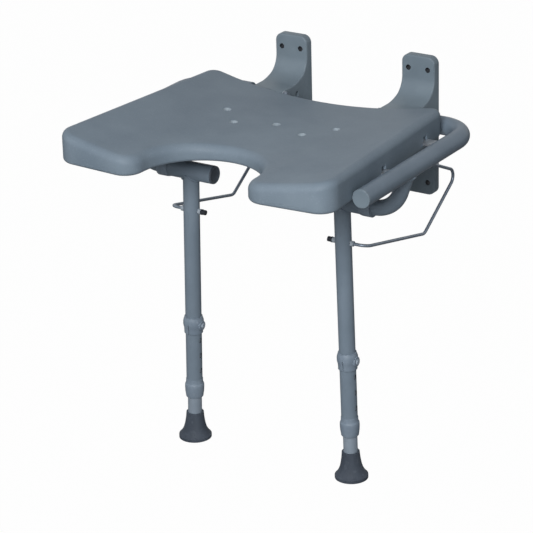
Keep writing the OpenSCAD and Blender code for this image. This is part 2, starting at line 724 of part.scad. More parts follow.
// Height collar: a ring that slides on the leg tube, slit at the front, with a boss that
// holds the snap button over the locking pin
collar_lip = 4;
collar_taper = 3;
boss_wall = 2.5;
slit_w = 1.2;
flange_over = 1;             // how far the button's flange stands out all round
button_flange_t = 1;
button_travel = 2;
flange_in = leg_d / 2 + button_travel + seam / 2;
boss_d = button_d + 2 * (flange_over + boss_wall);
module height_collar(side) color([0.3, 0.34, 0.4]) on_leg(side)
    translate([0, 0, -top_hole_down - collar_h / 2]) difference() {
        union() {
            cylinder(d = collar_d - collar_taper, h = collar_h);
            translate([0, 0, collar_lip])
                cylinder(d1 = collar_d - collar_taper, d2 = collar_d, h = collar_lip);
            translate([0, 0, 2 * collar_lip])
                cylinder(d = collar_d, h = collar_h - 3 * collar_lip);
            translate([0, 0, collar_h - collar_lip])
                cylinder(d1 = collar_d, d2 = collar_d - collar_taper, h = collar_lip);
            translate([0, 0, collar_h / 2]) rotate([0, 90, 0]) cylinder(d = boss_d, h = boss_out);
        }
        translate([0, 0, -through]) cylinder(d = leg_d + 2 * slide, h = collar_h + 2 * through);
        translate([0, 0, collar_h / 2]) rotate([0, 90, 0]) {
            cylinder(d = button_d + 2 * (flange_over + slide), h = flange_in + button_flange_t + slide);
            cylinder(d = button_d + 2 * slide, h = collar_d);
        }
        translate([0, -collar_d, -through])
            cube([slit_w, collar_d, collar_h + 2 * through]);
    }

// End bush: a swelling ring outside the leg tube, with a lip that guides the foot tube
end_bush_lip = 7;
end_bush_widest = 0.55;      // share of its height where it is widest
module end_bush(side) color([0.3, 0.34, 0.4]) on_leg(side)
    translate([0, 0, -leg_len - end_bush_lip]) difference() {
        union() {
            cylinder(d1 = leg_d + 1, d2 = end_bush_d, h = end_bush_h * end_bush_widest);
            translate([0, 0, end_bush_h * end_bush_widest])
                cylinder(d1 = end_bush_d, d2 = leg_d + 2, h = end_bush_h * (1 - end_bush_widest));
        }
        translate([0, 0, -through])
            cylinder(d = foot_tube_d + 2 * slide, h = end_bush_lip + 2 * through);
        translate([0, 0, end_bush_lip]) cylinder(d = leg_d + 2 * snug, h = end_bush_h);
    }

// Pale bushes on both sides of the leg, where the link rod passes through
pivot_x = leg_x + link_drop * tan(leg_splay);
module pivot_bushes(side) color([0.75, 0.77, 0.78])
    translate([side * pivot_x, axle[1], axle[2] - link_drop]) for (way = [-1, 1]) outward(way) {
        translate([0, 0, leg_d / 2 + 0.2])
            ring(pivot_bush_d, link_d + 2 * running, pivot_bush_out);
        translate([0, 0, bore_d / 2 - 2.5])
            ring(pivot_sleeve_d - 2 * snug, link_d + 2 * running, leg_wall + 3);
    }

// Foot tubes, snap buttons and rubber feet

foot_tube_top = top_hole_down - foot_tube_above;
foot_tube_end = floor_drop - foot_sole;
module foot_tube(side) color([0.46, 0.52, 0.58]) on_leg(side) difference() {
    translate([0, 0, -foot_tube_end])
        ring(foot_tube_d, foot_tube_bore, foot_tube_end - foot_tube_top);
    translate([0, 0, -top_hole_down]) rotate([0, 90, 0])
        cylinder(d = pin_d + 2 * slide, h = leg_d);
}

// Snap button: a cap in the collar's boss, with a flange that keeps it in and a stem that
// pushes the locking pin through the leg tube's wall
pin_end = leg_d / 2 + 0.2;
stem_gap = 0.2;
stem_d = pin_d - 1;
module snap_button(side) color([0.66, 0.68, 0.7]) on_leg(side)
    translate([0, 0, -top_hole_down]) rotate([0, 90, 0]) {
        translate([0, 0, pin_end + stem_gap]) cylinder(d = stem_d, h = flange_in - pin_end - stem_gap);
        translate([0, 0, flange_in]) cylinder(d = button_d + 2 * flange_over, h = button_flange_t);
        translate([0, 0, flange_in]) cylinder(d = button_d, h = boss_out + button_out - 1 - flange_in);
        translate([0, 0, boss_out + button_out - 1]) cylinder(d1 = button_d, d2 = button_d - 2, h = 1);
    }

// Snap spring: a bent leaf across the foot tube with the locking pin at its end, in one
// piece. The pin's shoulder stays inside the foot tube's bore.
shoulder_d = pin_d + 2;
shoulder_t = 1;
shoulder_x = sqrt(pow(foot_tube_bore / 2 - seam, 2) - pow(shoulder_d / 2, 2));
leaf_t = 0.8;
leaf_w = 7;
leaf_h = 24;
leaf_foot = 6;
leaf_back_x = sqrt(pow(foot_tube_bore / 2, 2) - pow(leaf_w / 2, 2)) - seam / 2;
leaf_x = shoulder_x - shoulder_t;
module snap_spring(side) color([0.7, 0.71, 0.72]) on_leg(side)
    translate([0, 0, -top_hole_down]) {
        rotate([90, 0, 0]) linear_extrude(leaf_w, center = true) polygon([
            [leaf_x, shoulder_d / 2], [leaf_x, -shoulder_d / 2],
            [-leaf_back_x + leaf_t, -leaf_h], [-leaf_back_x, -leaf_h],
            [-leaf_back_x, -leaf_h + leaf_foot], [-leaf_back_x + leaf_t, -leaf_h + leaf_foot],
            [leaf_x - leaf_t, -shoulder_d / 2 + 2], [leaf_x - leaf_t, shoulder_d / 2]
        ]);
        rotate([0, 90, 0]) translate([0, 0, leaf_x]) {
            cylinder(d = shoulder_d, h = shoulder_t);
            cylinder(d = pin_d, h = pin_end - leaf_x);
        }
    }

module foot_disc(side) color([0.7, 0.71, 0.72]) on_leg(side)
    translate([0, 0, -foot_tube_end - foot_disc_t]) cylinder(d = foot_tube_d, h = foot_disc_t);

// Rubber foot: a bell with a wide flat base, cut level with the floor
foot_base_t = 6;
foot_waist_h = 20;
foot_collar_h = 6;
module foot(side) color([0.14, 0.16, 0.19]) difference() {
    on_leg(side) translate([0, 0, -floor_drop]) difference() {
        union() {
            translate([0, 0, -2]) cylinder(d = foot_base_d, h = foot_base_t + 2);
            translate([0, 0, foot_base_t])
                cylinder(d1 = foot_base_d, d2 = foot_waist_d, h = foot_waist_h - foot_base_t);
            translate([0, 0, foot_waist_h])
                cylinder(d1 = foot_waist_d, d2 = foot_top_d, h = foot_h - foot_waist_h - foot_collar_h);
            translate([0, 0, foot_h - foot_collar_h]) cylinder(d = foot_top_d, h = foot_collar_h);
        }
        translate([0, 0, foot_sole - foot_disc_t])
            cylinder(d = foot_tube_d + 2 * snug, h = foot_h);
    }
    translate([side * leg_x - foot_base_d, axle[1] - foot_base_d, axle[2] - floor_drop - 10])
        cube([2 * foot_base_d, 2 * foot_base_d, 10]);
}

// Link rods: one bent wire from the bracket's nose to the leg, and its push-on caps

cap_over = link_cap_len - 2;
rod_front_x = pivot_x - leg_d / 2 - pivot_bush_out - 0.5 - cap_over;
rod_rear_x = bracket_in_x - 0.5 - cap_over;
rear_corner_z = link_rear[2] - (link_rear_corner + hinge_out) * tan(link_rear_slope);
function link_path(side) = [
    [side * rod_front_x, axle[1], axle[2] - link_drop],
    [side * link_x, axle[1], axle[2] - link_drop],
    [side * link_x, -link_low_out, axle[2] - link_drop - link_low_drop],
    [side * link_x, link_rear_corner, rear_corner_z],
    [side * link_x, link_rear[1], link_rear[2]],
    [side * rod_rear_x, link_rear[1], link_rear[2]]
];
module link_rod(side) color([0.62, 0.66, 0.7])
    bent_bar(link_path(side), [for (i = [1 : 4]) link_bend_r], link_d);

module push_cap() difference() {
    union() {
        cylinder(d = link_d + 3, h = link_cap_len);
        translate([0, 0, link_cap_len - 2]) cylinder(d = link_d + 4, h = 2);
    }
    translate([0, 0, 2]) cylinder(d = link_d + 2 * snug, h = link_cap_len);
}
module link_caps(side) color([0.12, 0.13, 0.15]) {
    translate([side * (rod_front_x - 2), axle[1], axle[2] - link_drop]) outward(side) push_cap();
    translate([side * (rod_rear_x - 2), link_rear[1], link_rear[2]]) outward(side) push_cap();
}

bracket(LEFT);  // left_bracket
bracket(RIGHT);  // right_bracket
hinge_bushes();
seat_pad();
base_board();
rail(LEFT);  // left_rail
rail(RIGHT);  // right_rail
rail_caps();
hinge_plugs();
hinge_bolts();
axle_arm(LEFT);  // left_axle_arm
axle_arm(RIGHT);  // right_axle_arm
axle_stops();
rail_lugs();
pad_screws();
tee(LEFT);  // left_tee
tee(RIGHT);  // right_tee
tee_bushes(LEFT);  // left_tee_bushes
tee_bushes(RIGHT);  // right_tee_bushes
tee_plug(LEFT);  // left_tee_plug
tee_plug(RIGHT);  // right_tee_plug
leg_tube(LEFT);  // left_leg_tube
leg_tube(RIGHT);  // right_leg_tube
height_collar(LEFT);  // left_height_collar
height_collar(RIGHT);  // right_height_collar
end_bush(LEFT);  // left_end_bush
end_bush(RIGHT);  // right_end_bush
pivot_bushes(LEFT);  // left_pivot_bushes
pivot_bushes(RIGHT);  // right_pivot_bushes
foot_tube(LEFT);  // left_foot_tube
foot_tube(RIGHT);  // right_foot_tube
snap_spring(LEFT);  // left_snap_spring
snap_spring(RIGHT);  // right_snap_spring
foot_disc(LEFT);  // left_foot_disc
foot_disc(RIGHT);  // right_foot_disc
foot(LEFT);  // left_foot
foot(RIGHT);  // right_foot
snap_button(LEFT);  // left_snap_button
snap_button(RIGHT);  // right_snap_button
link_rod(LEFT);  // left_link_rod
link_rod(RIGHT);  // right_link_rod
link_caps(LEFT);  // left_link_caps
link_caps(RIGHT);  // right_link_caps
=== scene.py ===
import math

import bmesh
import bpy
from mathutils import Matrix, Vector


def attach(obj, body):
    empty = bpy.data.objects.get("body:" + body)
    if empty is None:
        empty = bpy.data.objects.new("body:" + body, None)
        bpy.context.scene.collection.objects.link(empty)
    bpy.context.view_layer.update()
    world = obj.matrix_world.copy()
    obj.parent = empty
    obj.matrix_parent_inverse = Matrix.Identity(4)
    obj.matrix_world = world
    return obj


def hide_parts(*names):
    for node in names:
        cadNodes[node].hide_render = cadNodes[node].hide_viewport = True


# A fold-up shower seat: shapes are drawn in millimetres and become metres when a piece is finished.
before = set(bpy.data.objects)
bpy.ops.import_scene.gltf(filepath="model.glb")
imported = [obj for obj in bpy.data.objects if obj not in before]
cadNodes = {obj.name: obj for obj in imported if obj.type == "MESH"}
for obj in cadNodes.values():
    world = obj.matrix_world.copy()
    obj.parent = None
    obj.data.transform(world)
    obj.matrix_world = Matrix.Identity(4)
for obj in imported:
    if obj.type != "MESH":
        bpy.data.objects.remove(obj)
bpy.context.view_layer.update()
sides = {"left": -1, "right": 1}
print("frame loaded,", len(cadNodes), "nodes")


# Shader building

class Signal:
    # A shader socket that adds and multiplies like a number
    def __init__(self, finish, socket):
        self.finish = finish
        self.socket = socket

    def sum(self, operation, first, second):
        return self.finish.add("Math", {"operation": operation}, {0: first, 1: second})

    def __add__(self, other):
        return self.sum("ADD", self, other)

    def __radd__(self, other):
        return self.sum("ADD", other, self)

    def __sub__(self, other):
        return self.sum("SUBTRACT", self, other)

    def __rsub__(self, other):
        return self.sum("SUBTRACT", other, self)

    def __mul__(self, other):
        return self.sum("MULTIPLY", self, other)

    def __rmul__(self, other):
        return self.sum("MULTIPLY", other, self)


class Finish:
    # A new material's nodes, or those of a given tree, all added by a single method
    def __init__(self, name, tree=None):
        self.tree = tree
        if tree is None:
            self.material = bpy.data.materials.new(name)
            self.material.use_nodes = True
            self.tree = self.material.node_tree
            self.shader = self.tree.nodes["Principled BSDF"]
            self.place = self.add("TexCoord", out="Object")

    def feed(self, socket, value):
        if isinstance(value, Signal):
            self.tree.links.new(value.socket, socket)
        elif isinstance(value, (tuple, list)) and len(value) == 3 and socket.type == "RGBA":
            socket.default_value = (*value, 1)
        else:
            socket.default_value = value

    def add(self, kind, settings=None, feeds=None, out=0):
        node = self.tree.nodes.new("ShaderNode" + kind)
        for key, value in (settings or {}).items():
            if key == "stops":
                for stop, (at, shade) in zip(node.color_ramp.elements, value):
                    stop.position = at
                    stop.color = (shade, shade, shade, 1)
            else:
                setattr(node, key, value)
        for key, value in (feeds or {}).items():
            self.feed(node.inputs[key], value)
        return Signal(self, node.outputs[out]) if out is not None else None

    def noise(self, scale, detail=2.0, roughness=0.5, stretch=(1, 1, 1)):
        spot = self.add("Mapping", None, {"Vector": self.place, "Scale": stretch})
        return self.add("TexNoise", None, {"Vector": spot, "Scale": scale, "Detail": detail,
                                           "Roughness": roughness})

    def cells(self, scale):
        return self.add("TexVoronoi", {"feature": "F1"}, {"Vector": self.place, "Scale": scale})

    def ramp(self, value, low, high):
        return self.add("ValToRGB", {"stops": ((low, 0.0), (high, 1.0))}, {0: value})

    def mixColours(self, share, first, second):
        return self.add("Mix", {"data_type": "RGBA"}, {0: share, 6: first, 7: second}, out=2)

    def bump(self, height, strength, distance):
        return self.add("Bump", None, {"Strength": strength, "Distance": distance, "Height": height})

    def finishWith(self, **values):
        for key, value in values.items():
            self.feed(self.shader.inputs[key.replace("_", " ")], value)
        return self.material


# A moulded skin: fine leather-like grain, soft clouds of colour and a faint dry bloom
def mouldedSkin(look):
    f = Finish("mouldedSkin")
    cloud = f.noise(look["cloudScale"], 4.0, 0.6)
    grain = f.cells(look["grainScale"])
    fine = f.noise(look["grainScale"] * 2.3, 2.0, 0.6)
    speck = f.ramp(f.noise(look["speckScale"], 1.0), 0.60, 0.74)
    base = f.mixColours(f.ramp(cloud, 0.32, 0.70), look["deep"], look["light"])
    skin = f.mixColours(speck * 0.22, base, look["bloom"])
    relief = grain * 0.65 + fine * 0.35
    return f.finishWith(
        Base_Color=skin, Roughness=look["roughness"] + cloud * 0.10 - grain * 0.06,
        Normal=f.bump(relief, look["bumpStrength"], 0.00035),
        Specular_IOR_Level=0.16)


# Powder coat: orange peel, a slight change of shade and dust in the hollows of the grain
def powderCoat(name, look):
    f = Finish(name)
    peel = f.noise(look["peelScale"], 2.0, 0.45)
    drift = f.noise(look["driftScale"], 3.0, 0.55)
    scuff = f.ramp(f.noise(look["scuffScale"], 5.0, 0.7, look["scuffStretch"]), 0.62, 0.78)
    base = f.mixColours(f.ramp(drift, 0.30, 0.72), look["deep"], look["light"])
    coat = f.mixColours(scuff * look["scuffShare"], base, look["scuffColour"])
    return f.finishWith(
        Base_Color=coat, Roughness=look["roughness"] + scuff * 0.12 + drift * 0.05,
        Metallic=look["metallic"], Normal=f.bump(peel, look["bumpStrength"], 0.00025),
        Specular_IOR_Level=0.22)


# Plain mouldings: plastic or rubber with a matt grain and fine flow marks
def moulding(name, look):
    f = Finish(name)
    grain = f.noise(look["grainScale"], 3.0, 0.6)
    flow = f.noise(look["flowScale"], 2.0, 0.5, (1, 1, 0.35))
    dust = f.ramp(f.noise(look["dustScale"], 4.0, 0.65), 0.56, 0.80)
    base = f.mixColours(f.ramp(flow, 0.3, 0.7), look["deep"], look["light"])
    skin = f.mixColours(dust * look["dustShare"], base, look["dustColour"])
    return f.finishWith(
        Base_Color=skin, Roughness=look["roughness"] + dust * 0.10,
        Normal=f.bump(grain, look["bumpStrength"], 0.0002), Specular_IOR_Level=0.25)


# Bare or plated metal: fine drawn lines along the piece and a cloudy plate
def platedMetal(name, look):
    f = Finish(name)
    lines = f.noise(look["lineScale"], 3.0, 0.6, look["lineStretch"])
    cloud = f.noise(look["cloudScale"], 3.0, 0.5)
    tone = f.mixColours(f.ramp(cloud, 0.3, 0.7), look["deep"], look["light"])
    return f.finishWith(
        Base_Color=tone, Metallic=look["metallic"],
        Roughness=look["roughness"] + lines * 0.14,
        Normal=f.bump(lines, look["bumpStrength"], 0.0001))


padFinish = mouldedSkin({
    "deep": (0.136, 0.177, 0.220), "light": (0.172, 0.218, 0.263), "bloom": (0.26, 0.31, 0.36),
    "cloudScale": 11, "grainScale": 620, "speckScale": 420, "roughness": 0.50, "bumpStrength": 0.35})
castFinish = powderCoat("castCoat", {
    "deep": (0.132, 0.170, 0.203), "light": (0.166, 0.209, 0.245), "scuffColour": (0.24, 0.29, 0.33),
    "peelScale": 700, "driftScale": 14, "scuffScale": 60, "scuffStretch": (1, 1, 1),
    "scuffShare": 0.25, "roughness": 0.44, "metallic": 0.0, "bumpStrength": 0.28})
tubeFinish = powderCoat("tubeCoat", {
    "deep": (0.132, 0.171, 0.213), "light": (0.167, 0.211, 0.259), "scuffColour": (0.29, 0.34, 0.39),
    "peelScale": 850, "driftScale": 12, "scuffScale": 45, "scuffStretch": (1, 1, 0.25),
    "scuffShare": 0.22, "roughness": 0.40, "metallic": 0.0, "bumpStrength": 0.20})
railFinish = powderCoat("railCoat", {
    "deep": (0.122, 0.160, 0.202), "light": (0.155, 0.198, 0.246), "scuffColour": (0.29, 0.34, 0.39),
    "peelScale": 850, "driftScale": 12, "scuffScale": 45, "scuffStretch": (1, 0.25, 1),
    "scuffShare": 0.22, "roughness": 0.40, "metallic": 0.0, "bumpStrength": 0.20})
innerTubeFinish = platedMetal("innerTube", {
    "deep": (0.220, 0.270, 0.328), "light": (0.282, 0.338, 0.400), "metallic": 0.35, "roughness": 0.36,
    "lineScale": 500, "lineStretch": (1, 1, 0.04), "cloudScale": 25, "bumpStrength": 0.12})
plateFinish = platedMetal("zincPlate", {
    "deep": (0.45, 0.48, 0.52), "light": (0.60, 0.63, 0.66), "metallic": 0.9, "roughness": 0.30,
    "lineScale": 700, "lineStretch": (1, 1, 1), "cloudScale": 120, "bumpStrength": 0.10})
rodFinish = platedMetal("linkRod", {
    "deep": (0.15, 0.185, 0.235), "light": (0.20, 0.24, 0.295), "metallic": 0.45, "roughness": 0.30,
    "lineScale": 900, "lineStretch": (1, 1, 1), "cloudScale": 40, "bumpStrength": 0.08})
plasticFinish = moulding("collarPlastic", {
    "deep": (0.150, 0.192, 0.243), "light": (0.190, 0.236, 0.290), "dustColour": (0.30, 0.34, 0.39),
    "grainScale": 900, "flowScale": 60, "dustScale": 130, "dustShare": 0.30, "roughness": 0.46,
    "bumpStrength": 0.20})
palePlasticFinish = moulding("palePlastic", {
    "deep": (0.25, 0.29, 0.33), "light": (0.32, 0.365, 0.41), "dustColour": (0.20, 0.23, 0.26),
    "grainScale": 900, "flowScale": 90, "dustScale": 200, "dustShare": 0.25, "roughness": 0.42,
    "bumpStrength": 0.15})
# Painted highlight: a lighter skin on the drain dimples, standing in for the light caught by their far rims
drainHighlightFinish = moulding("drainRimPaintedHighlight", {
    "deep": (0.215, 0.26, 0.30), "light": (0.27, 0.32, 0.36), "dustColour": (0.22, 0.26, 0.30),
    "grainScale": 900, "flowScale": 90, "dustScale": 200, "dustShare": 0.25, "roughness": 0.40,
    "bumpStrength": 0.15})
# Painted shade: a near-black finish put on the walls of bolt holes and height holes, and on the leg's lower
# bore, to stand in for the shade inside them
holeShadeFinish = moulding("holeWallPaintedShade", {
    "deep": (0.020, 0.024, 0.031), "light": (0.034, 0.040, 0.050), "dustColour": (0.08, 0.09, 0.10),
    "grainScale": 800, "flowScale": 90, "dustScale": 180, "dustShare": 0.30, "roughness": 0.60,
    "bumpStrength": 0.20})
# Painted shade: the tee plug is coloured dark to stand in for the shade under the seat
plugShadeFinish = moulding("teePlugPaintedShade", {
    "deep": (0.052, 0.065, 0.083), "light": (0.074, 0.091, 0.112), "dustColour": (0.13, 0.15, 0.18),
    "grainScale": 800, "flowScale": 90, "dustScale": 180, "dustShare": 0.35, "roughness": 0.50,
    "bumpStrength": 0.20})
capFinish = moulding("blackCap", {
    "deep": (0.014, 0.017, 0.024), "light": (0.028, 0.033, 0.043), "dustColour": (0.09, 0.10, 0.12),
    "grainScale": 800, "flowScale": 90, "dustScale": 180, "dustShare": 0.35, "roughness": 0.42,
    "bumpStrength": 0.20})
rubberFinish = moulding("footRubber", {
    "deep": (0.036, 0.046, 0.063), "light": (0.056, 0.069, 0.090), "dustColour": (0.13, 0.15, 0.18),
    "grainScale": 650, "flowScale": 50, "dustScale": 90, "dustShare": 0.40, "roughness": 0.66,
    "bumpStrength": 0.35})
buttonFinish = moulding("snapButton", {
    "deep": (0.230, 0.275, 0.330), "light": (0.280, 0.330, 0.385), "dustColour": (0.34, 0.38, 0.43),
    "grainScale": 900, "flowScale": 120, "dustScale": 220, "dustShare": 0.25, "roughness": 0.40,
    "bumpStrength": 0.15})
boardFinish = moulding("baseBoard", {
    "deep": (0.050, 0.058, 0.068), "light": (0.075, 0.085, 0.098), "dustColour": (0.14, 0.15, 0.17),
    "grainScale": 500, "flowScale": 30, "dustScale": 70, "dustShare": 0.30, "roughness": 0.62,
    "bumpStrength": 0.30})
print("finishes made")


# Shape building

def newObject(name, data):
    thing = bpy.data.objects.new(name, data)
    bpy.context.scene.collection.objects.link(thing)
    return thing


def meshOf(bm, name="step"):
    mesh = bpy.data.meshes.new(name)
    bm.to_mesh(mesh)
    bm.free()
    return mesh


# One boolean step, given back as a new bmesh
def carve(bm, cutter, how="DIFFERENCE"):
    work, tool = newObject("step", meshOf(bm)), newObject("step", meshOf(cutter))
    step = work.modifiers.new("carve", "BOOLEAN")
    step.operation = how
    step.solver = "EXACT"
    step.object = tool
    done = bmesh.new()
    done.from_object(work, bpy.context.evaluated_depsgraph_get())
    for thing in (work, tool):
        mesh = thing.data
        bpy.data.objects.remove(thing)
        bpy.data.meshes.remove(mesh)
    return done


def joined(parts):
    whole = bmesh.new()
    for part in parts:
        mesh = meshOf(part)
        whole.from_mesh(mesh)
        bpy.data.meshes.remove(mesh)
    return whole


def finishPiece(name, bm, finish, body, replaced=(), sharp=36, outward=True):
    bmesh.ops.remove_doubles(bm, verts=bm.verts, dist=0.002)
    if outward:
        bmesh.ops.recalc_face_normals(bm, faces=bm.faces)
    bmesh.ops.scale(bm, vec=(0.001, 0.001, 0.001), verts=bm.verts)
    for edge in bm.edges:
        edge.smooth = edge.calc_face_angle(0) < math.radians(sharp)
    for face in bm.faces:
        face.smooth = True
    mesh = meshOf(bm, name)
    mesh.materials.append(finish)
    piece = newObject(name, mesh)
    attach(piece, body)
    if replaced:
        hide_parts(*replaced)
    return piece


def paintFaces(piece, finish, chosen):
    # A second finish for the faces that chosen picks by their middle, in millimetres, and normal
    piece.data.materials.append(finish)
    for face in piece.data.polygons:
        if chosen(face.center * 1000, face.normal):
            face.material_index = 1


def onlyVerts(items):
    return [item for item in items if isinstance(item, bmesh.types.BMVert)]


def ringOf(verts):
    # The edges between the given vertices
    chosen = set(verts)
    edges = dict.fromkeys(e for v in verts for e in v.link_edges)
    return [e for e in edges if e.verts[0] in chosen and e.verts[1] in chosen]


def placed(bm, spot, degrees, axis):
    bm.transform(Matrix.Translation(spot) @ Matrix.Rotation(math.radians(degrees), 4, axis))
    return bm


def softened(bm, geom, size, steps, affect="EDGES", clamp=False):
    bmesh.ops.bevel(bm, geom=geom, offset=size, offset_type="OFFSET", segments=steps, profile=0.5,
                    affect=affect, clamp_overlap=clamp, material=-1)


def roundCorner(bm, vert, radius, steps):
    # Rounds one corner of a flat face to a true radius
    ways = [(e.other_vert(vert).co - vert.co).normalized() for e in vert.link_edges]
    cut = radius / math.tan(ways[0].angle(ways[1]) / 2)
    softened(bm, [vert], cut, steps, "VERTICES")


def roundedFace(bm, outline, radii, steps):
    # A flat face with chosen corners rounded: radii has 0 where a corner stays
    verts = [bm.verts.new(p) for p in outline]
    bm.faces.new(verts)
    for vert, radius in zip(verts, radii):
        if radius:
            roundCorner(bm, vert, radius, steps)
    return bm.faces[:][0]


def pushedOut(bm, face, way):
    # Thickens a flat face into a solid along way
    made = bmesh.ops.extrude_face_region(bm, geom=[face])
    bmesh.ops.translate(bm, verts=onlyVerts(made["geom"]), vec=way)
    gaps = [e for e in bm.edges if e.is_boundary]
    if gaps:
        bmesh.ops.holes_fill(bm, edges=gaps, sides=0)
    bmesh.ops.recalc_face_normals(bm, faces=bm.faces)


def block(size, middle):
    bm = bmesh.new()
    place = Matrix.Translation(middle) @ Matrix.Diagonal((*size, 1))
    bmesh.ops.create_cube(bm, size=1, matrix=place)
    return bm


def rod(start, end, radius, steps=40):
    bm = bmesh.new()
    way = Vector(end) - Vector(start)
    turn = Vector((0, 0, 1)).rotation_difference(way).to_matrix().to_4x4()
    middle = (Vector(start) + Vector(end)) / 2
    bmesh.ops.create_cone(bm, cap_ends=True, segments=steps, radius1=radius, radius2=radius,
                          depth=way.length, matrix=Matrix.Translation(middle) @ turn)
    return bm


def turned(profile, steps=72):
    # Spins points of radius and height about Z
    bm = bmesh.new()
    line = [bm.verts.new((r, 0, z)) for r, z in profile]
    edges = [bm.edges.new(pair) for pair in zip(line, line[1:])]
    bmesh.ops.spin(bm, geom=line + edges, cent=(0, 0, 0), axis=(0, 0, 1), angle=math.tau,
                   steps=steps, use_merge=True, use_duplicate=False)
    bmesh.ops.remove_doubles(bm, verts=bm.verts, dist=0.002)
    bmesh.ops.recalc_face_normals(bm, faces=bm.faces)
    return bm


def arcPoints(middle, radius, fromAngle, toAngle, steps=6):
    angles = [math.radians(fromAngle + (toAngle - fromAngle) * i / steps) for i in range(steps + 1)]
    return [(middle[0] + radius * math.cos(a), middle[1] + radius * math.sin(a)) for a in angles]


def bentBar(path, bends, radius, steps=48, endRound=0.0):
    # A round bar along straight runs and bends; its ends are closed, and rounded if asked
    bm = bmesh.new()
    path = [Vector(p) for p in path]
    ways = [(b - a).normalized() for a, b in zip(path, path[1:])]
    turn = Vector((0, 0, 1)).rotation_difference(ways[0]).to_matrix().to_4x4()
    made = bmesh.ops.create_circle(bm, segments=steps, radius=radius,
                                   matrix=Matrix.Translation(path[0]) @ turn)
    first = verts = made["verts"]
    at = path[0]
    for i, corner in enumerate(path[1:-1]):
        angle = ways[i].angle(ways[i + 1])
        cut = bends[i] * math.tan(angle / 2)
        start = corner - ways[i] * cut
        made = bmesh.ops.extrude_edge_only(bm, edges=ringOf(verts))
        verts = onlyVerts(made["geom"])
        bmesh.ops.translate(bm, verts=verts, vec=start - at)
        across = ways[i].cross(ways[i + 1]).normalized()
        made = bmesh.ops.spin(bm, geom=verts + ringOf(verts), axis=across, angle=angle,
                              cent=start + across.cross(ways[i]) * bends[i],
                              steps=max(5, round(math.degrees(angle) / 5)), use_duplicate=False)
        verts = onlyVerts(made["geom_last"])
        at = corner + ways[i + 1] * cut
    made = bmesh.ops.extrude_edge_only(bm, edges=ringOf(verts))
    verts = onlyVerts(made["geom"])
    bmesh.ops.translate(bm, verts=verts, vec=path[-1] - at)
    rims = ringOf(first) + ringOf(verts)
    bmesh.ops.holes_fill(bm, edges=rims, sides=0)
    bmesh.ops.remove_doubles(bm, verts=bm.verts, dist=0.002)
    bmesh.ops.recalc_face_normals(bm, faces=bm.faces)
    if endRound:
        rims = [e for e in bm.edges if any(len(f.verts) > 8 for f in e.link_faces)]
        softened(bm, rims, endRound, 3)
    return bm


def weldBead(points, thickness):
    # A rippled bead round a closed line of points
    line = bpy.data.curves.new("bead", "CURVE")
    line.dimensions = "3D"
    line.bevel_depth = thickness
    line.bevel_resolution = 3
    spline = line.splines.new("POLY")
    spline.points.add(len(points) - 1)
    spline.use_cyclic_u = True
    for i, (point, spot) in enumerate(zip(spline.points, points)):
        point.co = (*spot, 1)
        point.radius = 0.92 + 0.16 * abs(math.sin(i * math.pi / 4))
    thing = newObject("bead", line)
    done = thing.evaluated_get(bpy.context.evaluated_depsgraph_get())
    mesh = bpy.data.meshes.new_from_object(done)
    bm = bmesh.new()
    bm.from_mesh(mesh)
    bpy.data.meshes.remove(mesh)
    bpy.data.objects.remove(thing)
    bpy.data.curves.remove(line)
    return bm


# Axes shared with the solids, and the points round a weld
weldSteps = 96
axes = {"hinge": (0, -84, 35), "linkRear": (0, -84, -30), "axle": (0, -277, -33.5), "linkDrop": 65,
        "legX": 134.3, "splay": 1.3}


def legPlace(side):
    return Matrix.Translation((side * axes["legX"], axes["axle"][1], axes["axle"][2])) @ \
        Matrix.Rotation(math.radians(-side * axes["splay"]), 4, "Y")


# Pad: a moulded horseshoe, flat-bottomed, dished from side to side
pad = {"frontHalf": 237.5, "rearHalf": 208.5, "front": -480, "bow": 16, "rear": -110.3, "rearCurve": 1500,
       "cutRadius": 94, "cutMiddle": -457, "cornerRound": 30, "tipRound": 30, "rearCornerRound": 23,
       "underside": 27.5, "thickness": 24.7, "rise": 23.8, "riseHalf": 225, "topRound": 13,
       "bottomRound": 6, "boardInset": 11.7, "boardThick": 8, "slice": 6, "rearSpan": 160,
       "drains": ((0, -242), (60, -267), (-60, -267), (96, -229), (-96, -229)), "drainRadius": 4,
       "drainDish": 6.6, "drainDeep": 3.2, "lugs": (-168, -309), "lugWidth": 18.6,
       "lugThick": 4.3, "screwIn": 18,
       "pocketWidth": 12, "pocketHeight": 8, "railX": 247}


def padRearY():
    # Where the curved rear edge reaches the rear corners
    return pad["rear"] + pad["rearHalf"] ** 2 / (2 * pad["rearCurve"])


def padSide(y):
    # Half width of the pad, from its rear corners to its wider front
    rearY = padRearY()
    return pad["rearHalf"] + (pad["frontHalf"] - pad["rearHalf"]) * (y - rearY) / (pad["front"] - rearY)


def dish(x):
    return pad["rise"] * (x / pad["riseHalf"]) ** 2


